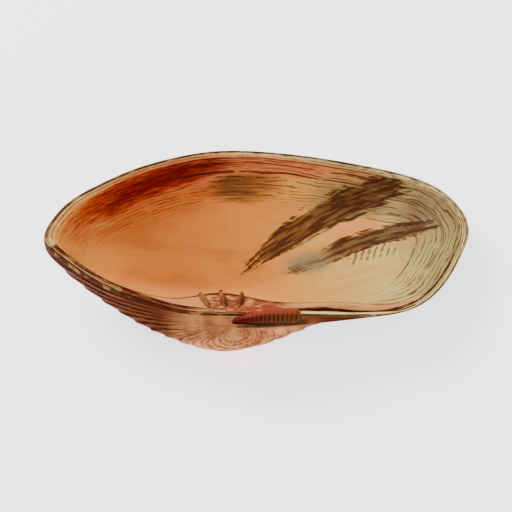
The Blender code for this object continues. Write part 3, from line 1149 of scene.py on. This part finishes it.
    def rim_colour(self, nodes: ShellNodes, colour: Tint) -> Tint:
        """The pale rim with its thin dark lines, laid over the colours of the hollow.

        Args:
            nodes: The material's nodes and positions.
            colour: The colours so far.

        Returns:
            The colours of rim and hollow.
        """
        graph, flow, flat, travel = nodes
        mark = graph.field
        across, long_plate, tooth = mark("across"), mark("long_plate"), mark("teeth")
        hinge, left_hinge = mark("near_hinge"), mark("left_hinge")
        mottle = flow.noise((0.45, 0.45, 1.3), 4.0)
        drift = travel + (flow.noise((0.11, 0.11, 0.3), 2.0) - 0.5) * 0.4
        broken = flow.noise((0.30, 0.30, 1.3), 2.0).rise(0.34, 0.50)
        uneven = across + (flow.noise((0.16, 0.16, 0.2), 2.0) - 0.5) * 0.22
        red = hinge * flat.part("X").near(0.0, 6.5, 4.0) * mottle.rise(0.38, 0.56)
        brown_share = left_hinge * 0.12 + mark("brown_rim") * (0.55 + 0.33 * mottle.rise(0.36, 0.54))
        pale = graph.ramp(mottle, ((0.36, self.moss), (0.62, self.cream))).towards(
            (self.cream, mark("lower_right") * 0.7),
            (self.warm_lip, (mark("top_left") + left_hinge).clipped() * 0.6 + hinge * 0.35),
            (self.lip_brown, brown_share),
            (self.tinge, mark("tinge") * (0.4 + 0.6 * mottle.rise(0.36, 0.52))),
            (self.plate, hinge * travel.rise(1.0, 1.8) * 0.9),
            (self.plate_red, red * 0.85),
            (self.plate_pink, mark("blush") * (0.35 + 0.6 * mottle.rise(0.38, 0.58))),
            (self.plate, long_plate * across.rise(0.44, 0.54) * 0.85),
            (self.cream, long_plate * (1.0 - across.rise(0.30, 0.40)) * 0.9),
            # Painted shade in the long groove of the hinge plate.
            (MAROON, long_plate * uneven.near(0.42, 0.05, 0.04) * 0.95),
            (self.tan, tooth * 0.7),
            # Painted shade round the foot of each tooth, where it meets the plate.
            (MAROON, tooth.near(0.35, 0.12, 0.2) * 0.75),
        )
        for line in self.rim_lines:
            drawn = drift.near(line.place, line.half_width, 0.10) * (0.7 + 0.3 * broken) * line.strength
            pale = pale.towards((line.colour, drawn if line.part == "all" else drawn * mark(line.part)))
        # Painted shade along the rim's inner edge, stronger beside the hinge.
        inner = (across + (mottle - 0.5) * 0.10).near(0.985, 0.03, 0.06)
        pale = pale.towards((MAROON, inner * (0.35 + 0.55 * (hinge + left_hinge).clipped())))
        return colour.towards((pale, 1.0 - (across + (mottle - 0.5) * 0.25).rise(0.98, 1.10)))

    def outside_colour(self, nodes: ShellNodes) -> Tint:
        """Growth bands of the outside, rosy and ridged at the umbo.

        Args:
            nodes: The material's nodes and positions.

        Returns:
            The colours.
        """
        graph, flow, flat, travel = nodes
        cloud = flat.noise(0.2, 4.0)
        streak = flow.noise((0.10, 0.10, 0.8), 4.0, 0.6)
        fibre = flow.noise((0.24, 0.24, 2.3), 3.0, 0.6)
        ridges_per_mm = OuterSurface.ridges / ((1.0 - OuterSurface.smallest_ridge_root) * OUTSIDE_RUN)
        phase = travel * -ridges_per_mm + (streak - 0.5) * 0.5
        band = phase.fraction()
        crest = (phase * OuterSurface.umbo_crests + (cloud - 0.5) * 0.8 + (fibre - 0.5) * 0.3).fraction()
        line = (crest - 0.5).size().rise(0.29, 0.43) * (0.35 + 0.65 * fibre.rise(0.40, 0.54))
        line = line * travel.rise(-51.0, -44.0) * (1.0 - 0.75 * graph.field("near_hinge"))
        worn = flat.noise(0.24, 2.0).rise(0.40, 0.58)
        line = line * (0.40 + 0.40 * worn + 0.55 * flat.part("X").near(-8.0, 6.0, 6.0)).clipped()
        rosy = graph.ramp(cloud * 0.6 + streak * 0.4, ((0.40, self.blush), (0.56, self.rosy)))
        brown = graph.ramp(streak, ((0.36, self.dark_brown), (0.48, self.brown), (0.70, self.tan)))
        return brown.towards(
            (self.dark_brown, band.near(0.08, 0.04, 0.14) * (0.55 + 0.4 * cloud.rise(0.4, 0.6))),
            (self.tan, band.near(0.55, 0.10, 0.30) * 0.35),
            (self.blush, fibre.rise(0.52, 0.66) * 0.55),
            (self.dark_brown, (1.0 - fibre.rise(0.34, 0.46)) * 0.7),
            (rosy.towards((self.umbo_red, line * 0.85)), graph.field("umbo") * 0.92),
        )

    def make(self) -> bpy.types.Material:
        """The whole material.

        Returns:
            The finished material.
        """
        graph = Graph("shell_finish")
        nodes = ShellNodes(graph, graph.place("flow"), graph.place("flat"), graph.field("travel"))
        inside = self.rim_colour(nodes, self.inside_colour(nodes))
        outside = self.outside_colour(nodes)
        is_inside = nodes.travel.rise(-0.15, 0.02)
        grain = nodes.flat.noise(1.6, 4.0)
        lines = (nodes.travel * TURN / 0.5 + (nodes.flow.noise((0.2, 0.2, 0.8)) - 0.5) * 8.0).wave()
        roughness = 0.60 - 0.22 * is_inside + (grain - 0.5) * 0.22
        graph.bump(grain * 0.4 + lines * (0.6 - 0.45 * is_inside), 0.00012, 0.5)
        return graph.finish(outside.towards((inside, is_inside)), roughness, {"Specular IOR Level": 0.02})


@dataclass(frozen=True)
class LigamentFinish:
    """Horny dark red band, browner to the right, with fine cross stripes, a painted highlight along its top
    and painted shade underneath.
    """

    red: Paint = paint(86, 17, 8)
    brown: Paint = paint(98, 50, 19)
    groove: Paint = paint(34, 6, 3)
    # Colour of the painted highlight on the top of the band.
    pink: Paint = paint(156, 62, 42)
    # Colour of the painted shade on the underside of the band.
    low: Paint = paint(30, 5, 3)

    def make(self) -> bpy.types.Material:
        """The whole material.

        Returns:
            The finished material.
        """
        graph = Graph("ligament_finish")
        flat = graph.place("flat")
        run, ridge, top = graph.field("run"), graph.field("ridge"), graph.field("top")
        grain = flat.noise(1.8, 4.0)
        fibre = flat.noise((4.2, 0.8, 0.8))
        middle = top.rise(-0.6, -0.2) * (1.0 - top.rise(0.45, 0.85))
        stroke = (1.0 - (ridge + (fibre - 0.5) * 1.3).rise(0.35, 0.85)) * (0.25 + 0.75 * middle)
        colour = graph.ramp(run + (grain - 0.5) * 0.3, ((0.25, self.red), (0.75, self.brown))).towards(
            # Painted highlight along the top.
            (self.pink, top.rise(0.45, 0.90) * (0.35 + 0.5 * grain) * run.rise(0.05, 0.30)),
            (self.groove, stroke * 0.85),
            # Painted shade on the underside.
            (self.low, 1.0 - top.rise(-0.75, -0.25)),
        )
        graph.bump(fibre * 0.6 + grain * 0.4, 0.00015, 0.6)
        return graph.finish(colour, 0.46 + (grain - 0.5) * 0.3, {"Specular IOR Level": 0.04})


@dataclass(frozen=True)
class FloorFinish:
    """Plain pale board."""

    pale: Paint = (0.86, 0.86, 0.85, 1.0)
    paler: Paint = (0.90, 0.90, 0.89, 1.0)
    glow: float = 2.0

    def make(self) -> bpy.types.Material:
        """The whole material.

        Returns:
            The finished material.
        """
        graph = Graph("floor_finish")
        where = Place(graph, graph.node("ShaderNodeTexCoord", {}, {}).outputs["Object"])
        cloud = where.noise(6.0)
        colour = graph.ramp(cloud, ((0.3, self.pale), (0.7, self.paler)))
        constants = {"Emission Color": WHITE, "Emission Strength": self.glow, "Specular IOR Level": 0.0}
        return graph.finish(colour, 0.8 + cloud * 0.1, constants)


class Build:
    """Shared steps for meshes made of rings."""

    @staticmethod
    def bridge(upper: Array, lower: Array, faces: list[tuple[int, ...]]) -> None:
        """Join two rings of vertex numbers with equal counts, or one with half as many.

        Args:
            upper: Numbers of the first ring's vertices.
            lower: Numbers of the second ring's vertices.
            faces: The list that the new faces are added to.
        """
        if len(upper) < len(lower):
            turned: list[tuple[int, ...]] = []
            Build.bridge(lower, upper, turned)
            faces.extend(tuple(reversed(face)) for face in turned)
            return
        many, few = len(upper), len(lower)
        for place in range(few):
            beside = (place + 1) % few
            if many == few:
                faces.append((upper[place], lower[place], lower[beside], upper[beside]))
                continue
            first, middle, last = (upper[(2 * place + shift) % many] for shift in (0, 1, 2))
            faces.append((first, lower[place], middle))
            faces.append((middle, lower[place], lower[beside]))
            faces.append((middle, lower[beside], last))

    @staticmethod
    def lofted(name: str, rings: Sequence[Array], fields: Mapping[str, Array]) -> bpy.types.Object:
        """Make a closed smooth mesh of rings, with a fan at each end.

        Args:
            name: The object's name.
            rings: Points of each ring in order.
            fields: Numbers or positions for each point, by name, in the order of the rings' points.

        Returns:
            The new object, in the scene.
        """
        ends = np.cumsum([len(ring) for ring in rings])
        numbers = [np.arange(end - len(ring), end) for ring, end in zip(rings, ends)]
        count = int(ends[-1])
        points = np.concatenate((*rings, [rings[0].mean(axis=0), rings[-1].mean(axis=0)]))
        faces: list[tuple[int, ...]] = []
        for upper, lower in zip(numbers, numbers[1:]):
            Build.bridge(upper, lower, faces)
        for ring, middle in ((numbers[0], count), (numbers[-1][::-1], count + 1)):
            faces.extend(zip(ring, np.roll(ring, -1), [middle] * len(ring)))
        mesh = bpy.data.meshes.new(name)
        mesh.from_pydata(points.tolist(), [], [tuple(int(corner) for corner in face) for face in faces])
        for key, values in fields.items():
            middles = [values[: len(rings[0])].mean(axis=0), values[-len(rings[-1]) :].mean(axis=0)]
            full = np.concatenate((values, middles)).astype(np.float32)
            kind, socket = ("FLOAT", "value") if full.ndim == 1 else ("FLOAT_VECTOR", "vector")
            mesh.attributes.new(key, kind, "POINT").data.foreach_set(socket, full.ravel())
        mesh.shade_smooth()
        return hung(name, mesh)

    @staticmethod
    def settle(item: bpy.types.Object, node: str, slot: Slot, material: bpy.types.Material) -> None:
        """Give a piece its finish and let it stand for its node of the part.

        Args:
            item: The piece.
            node: The node that it replaces.
            slot: Its material slot; not used.
            material: Its finish.
        """
        item.data.materials.append(material)
        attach(item, BODY)
        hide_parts(node)
        LOG.info("%s: %d faces, stands for %s", item.name, len(item.data.polygons), node)


@dataclass
class Valve:
    """The valve itself, from the tip of its beak over the outside and the rim into the hollow."""

    pose: RestPose
    around: int = 448
    hinge_dense: float = 2.2
    dense_part: Window = (0.70, 0.74, 0.86, 0.91)
    run_samples: int = 4001
    rings_per_ridge: int = 10
    half_root: float = 0.56
    quarter_root: float = 0.24
    ring_offset: float = 0.35
    tip_roots: tuple[float, ...] = (0.185, 0.17, 0.155, 0.14, 0.125, 0.11, 0.095, 0.08)
    half_step: float = 0.40
    quarter_step: float = 0.80
    first_step: float = 0.0035
    wider_step: float = 0.011
    wider_from: float = 0.05
    step_growth: float = 0.010
    last_step: float = 0.965
    umbo_oval: tuple[float, float] = (14.0, 9.0)
    umbo_edge: float = 1.4
    umbo_soft: float = 0.75
    rim_rings: int = 14
    edge_parts: tuple[float, ...] = (0.0, 0.25, 0.5, 0.75, 1.0)
    finish: ShellFinish = field(default_factory=ShellFinish)

    def shares(self, count: int) -> Array:
        """Places round the margin, closer together along the hinge plate.

        Args:
            count: How many places.

        Returns:
            The places, from 0 to 1.
        """
        fine = np.linspace(0.0, 1.0, self.run_samples)
        dense = 1.0 + self.hinge_dense * between(fine, *self.dense_part)
        run = np.concatenate(([0.0], np.cumsum(0.5 * (dense[1:] + dense[:-1]))))
        return np.interp(np.arange(count) / count, run / run[-1], fine)

    def outer_rings(self, outer: OuterSurface) -> list[Ring]:
        """Rings of the outside, from the beak tip to the margin.

        Args:
            outer: The outer surface.

        Returns:
            The rings in order.
        """
        count = outer.ridges * self.rings_per_ridge
        gap = (1.0 - outer.smallest_ridge_root) / count
        roots = [1.0 - (number + self.ring_offset) * gap for number in range(count)]
        rings = []
        for root in reversed((*roots, *self.tip_roots)):
            halvings = int(root < self.half_root) + int(root < self.quarter_root)
            share = self.shares(self.around // 2**halvings)
            turn = np.sqrt(outer.turn(root) ** 2 + outer.edge_turn(share) ** 2)
            points = outer.points(share, turn)
            points = points + outer.normals(share, turn) * outer.relief(share, root, points)[:, None]
            travel = np.full(len(share), -OUTSIDE_RUN * (1.0 - root) - 0.2)
            rings.append(Ring(share, points, travel, np.zeros(len(share))))
        return rings

    def inner_rings(self, inner: InnerSurface) -> list[Ring]:
        """Rings of the rounded edge, the rim and the hollow, inwards.

        Args:
            inner: The inner surface.

        Returns:
            The rings in order.
        """
        share = self.shares(self.around)
        rings = [inner.edge_ring(share, part) for part in self.edge_parts]
        start = inner.round_width / inner.rim_width
        for number in range(1, self.rim_rings + 1):
            rings.append(inner.rim_ring(share, start + (1.0 - start) * number / self.rim_rings))
        step = 0.0
        while step < self.last_step:
            widened = self.wider_step * float(smoothstep(step / self.wider_from))
            step += self.first_step + widened + self.step_growth * step
            halvings = int(step > self.half_step) + int(step > self.quarter_step)
            rings.append(inner.hollow_ring(self.shares(self.around // 2**halvings), step))
        return rings

    def build(self) -> bpy.types.Object:
        """Make the mesh.

        Returns:
            The finished piece.
        """
        margin = Margin()
        outer = OuterSurface(margin)
        inner = InnerSurface(margin, outer)
        rings = self.outer_rings(outer) + self.inner_rings(inner)
        share = np.concatenate([ring.share for ring in rings])
        flat = np.concatenate([ring.points for ring in rings]) / MM
        travel = np.concatenate([ring.travel for ring in rings])
        radius = margin.run[-1] / TURN / MM
        angle = TURN * share
        fields = Markings().fields(share, travel, flat)
        from_beak = from_oval(flat, *(place / MM for place in outer.beak), *self.umbo_oval)
        fields["umbo"] = smoothstep((self.umbo_edge - from_beak) / self.umbo_soft) * (travel < 0.0)
        fields["travel"] = travel
        fields["across"] = np.concatenate([ring.across for ring in rings])
        fields["flow"] = np.column_stack((radius * np.cos(angle), radius * np.sin(angle), travel))
        fields["flat"] = flat
        fields["beside"] = Markings.beside_rays(flat)
        placed = [self.pose.place(ring.points) for ring in rings]
        for points in placed:
            points[:, 2] = np.maximum(points[:, 2], 0.0)
        return Build.lofted("valve_shell", placed, fields)

    def dress(self, item: bpy.types.Object) -> None:
        """Give the valve its finish and its place on the body."""
        Build.settle(item, "valve", Slot.SHELL, self.finish.make())


@dataclass
class Ligament:
    """The horny band beside the beak: a domed, cross-ridged strip, blunt at its right end."""

    pose: RestPose
    line_mm: tuple[tuple[float, float, float], ...] = (
        (-3.4, -1.80, 0.20), (3.6, -1.65, 0.92), (10.9, -1.85, 0.98),
    )
    half_width: float = 1.62 * MM
    half_height: float = 1.34 * MM
    stripes: int = 16
    rings_per_stripe: int = 9
    around: int = 40
    stripe_depth: float = 0.04
    thin: float = 0.42
    swell: float = 1.3
    blunt_end: float = 0.10
    pointed_end: float = 0.06
    end_cap: float = 0.10
    ridge_round: float = 0.6
    skew: float = 0.35 * MM
    finish: LigamentFinish = field(default_factory=LigamentFinish)

    def centre(self, share: float) -> Array:
        """A point on the middle line, a smooth arc through three places.

        Args:
            share: How far along the band, from 0 to 1.

        Returns:
            The point in the margin's frame, in metres.
        """
        first, middle, last = (np.array(place) * MM for place in self.line_mm)
        control = middle * 2.0 - (first + last) * 0.5
        return first * (1.0 - share) ** 2 + control * (2.0 * share * (1.0 - share)) + last * share**2

    def fullness(self, share: float) -> float:
        """Cross-section size along the band: thin behind the beak, blunt at the far end.

        Args:
            share: How far along the band, from 0 to 1.

        Returns:
            A share of the full section.
        """
        rise = min(1.0, self.thin + self.swell * share)
        past_end = max(0.0, (share - 1.0 + self.blunt_end) / self.blunt_end)
        before_start = max(0.0, (self.pointed_end - share) / self.pointed_end)
        ends = math.sqrt(max(0.0, 1.0 - past_end**2)) * math.sqrt(max(0.0, 1.0 - before_start**2))
        return rise * max(self.end_cap, ends)

    def build(self) -> bpy.types.Object:
        """Make the mesh.

        Returns:
            The finished piece.
        """
        count = self.stripes * self.rings_per_stripe
        angle = -TURN * np.arange(self.around) / self.around
        rings, runs, ridges = [], [], []
        for number in range(count + 1):
            share = number / count
            part = (number % self.rings_per_stripe) / self.rings_per_stripe
            ridge = math.sin(math.pi * part) ** self.ridge_round
            wander = 0.03 * np.sin(3.0 * angle + 5.0 * share) + 0.02 * np.sin(7.0 * angle - 9.0 * share)
            depth = self.stripe_depth * (1.0 - ridge) * (0.5 + 0.5 * np.clip(np.sin(angle) + 0.4, 0.0, 1.0))
            full = self.fullness(share) * (1.0 - depth) * (1.0 + wander)
            along = self.skew * np.cos(angle) * self.fullness(share)
            away = np.cos(angle) * self.half_width * full
            high = np.sin(angle) * self.half_height * full
            rings.append(self.centre(share) + np.stack((along, away, high), axis=1))
            runs.append(share)
            ridges.append(ridge)
        fields = {
            "run": np.repeat(runs, self.around),
            "ridge": np.repeat(ridges, self.around),
            "top": np.tile(np.sin(angle + 0.5), count + 1),
            "flat": np.concatenate(rings) / MM,
        }
        return Build.lofted("ligament_band", [self.pose.place(ring) for ring in rings], fields)

    def dress(self, item: bpy.types.Object) -> None:
        """Give the ligament its finish and its place on the body."""
        Build.settle(item, "ligament", Slot.LIGAMENT, self.finish.make())


@dataclass
class Studio:
    """Pale floor, soft lights and the camera."""

    pose: RestPose
    elevation: float = math.radians(44.0)
    yaw: float = math.radians(-3.0)
    lens: float = 200.0
    sensor: float = 36.0
    pixels_per_metre: float = 4697.0
    aim_mm: tuple[float, float, float] = (1.66, 12.18, -21.5)
    floor_half: float = 3.0
    world_strength: float = 0.47
    lamps: tuple[tuple[str, tuple[float, float, float], float, float], ...] = (
        ("key_lamp", (-0.42, 0.42, 0.62), 0.40, 11.5),
        ("fill_lamp", (0.45, -0.55, 0.55), 0.80, 4.0),
    )

    def floor(self) -> None:
        """Lay the floor."""
        half = self.floor_half
        mesh = bpy.data.meshes.new("floor")
        corners = [(-half, -half, 0.0), (half, -half, 0.0), (half, half, 0.0), (-half, half, 0.0)]
        mesh.from_pydata(corners, [], [(0, 1, 2, 3)])
        mesh.materials.append(FloorFinish().make())
        item = hung("floor", mesh)
        LOG.info("floor: laid")

    def axes(self) -> tuple[Vector, Vector, Vector]:
        """The camera's right, up and backward directions in the frame of the part.

        Returns:
            The three directions.
        """
        turned = self.pose.turned()
        forward = Vector((-math.sin(self.yaw), math.cos(self.yaw), 0.0))
        right = Vector((math.cos(self.yaw), math.sin(self.yaw), 0.0))
        upright = Vector((0.0, 0.0, 1.0))
        back = upright * math.sin(self.elevation) - forward * math.cos(self.elevation)
        up = forward * math.sin(self.elevation) + upright * math.cos(self.elevation)
        return turned @ right, turned @ up, turned @ back

    def camera(self) -> None:
        """Set the camera at the picture's viewing angle."""
        right, up, back = self.axes()
        focal_pixels = self.lens / self.sensor * PICTURE_SIDE
        distance = focal_pixels / self.pixels_per_metre
        origin = Vector(self.pose.shift_mm) * MM
        along, rise, depth = (value * MM for value in self.aim_mm)
        aim = origin + right * along + up * rise + back * depth
        data = bpy.data.cameras.new("camera")
        data.lens = self.lens
        data.sensor_width = self.sensor
        data.clip_start = 0.01
        item = hung("camera", data)
        turn = Matrix((right, up, back)).transposed().to_4x4()
        item.matrix_world = Matrix.Translation(aim + back * distance) @ turn
        bpy.context.scene.camera = item

    def lamp(self, name: str, place: tuple[float, float, float], size: float, power: float) -> None:
        """Hang one soft square lamp that faces the shell.

        Args:
            name: The lamp's name.
            place: Where it hangs, in metres.
            size: Its side in metres.
            power: Its power in watts.
        """
        data = bpy.data.lights.new(name, "AREA")
        data.size = size
        data.energy = power
        facing = (-Vector(place)).to_track_quat("-Z", "Y").to_matrix().to_4x4()
        hung(name, data).matrix_world = Matrix.Translation(place) @ facing

    def build(self) -> None:
        """Set up everything that isn't part of the object."""
        self.floor()
        self.camera()
        for row in self.lamps:
            self.lamp(*row)
        world = bpy.data.worlds.new("studio")
        world.use_nodes = True
        sky = world.node_tree.nodes["Background"]
        sky.inputs["Color"].default_value = WHITE
        sky.inputs["Strength"].default_value = self.world_strength
        bpy.context.scene.world = world
        LOG.info("studio: camera and lamps set")


def main() -> None:
    """Build the pieces in order."""
    logging.basicConfig(level=logging.INFO, format="%(name)s: %(message)s")
    pose = RestPose()
    valve = Valve(pose)
    valve.dress(valve.build())
    ligament = Ligament(pose)
    ligament.dress(ligament.build())
    Studio(pose).build()


if __name__ == "__main__":
    main()
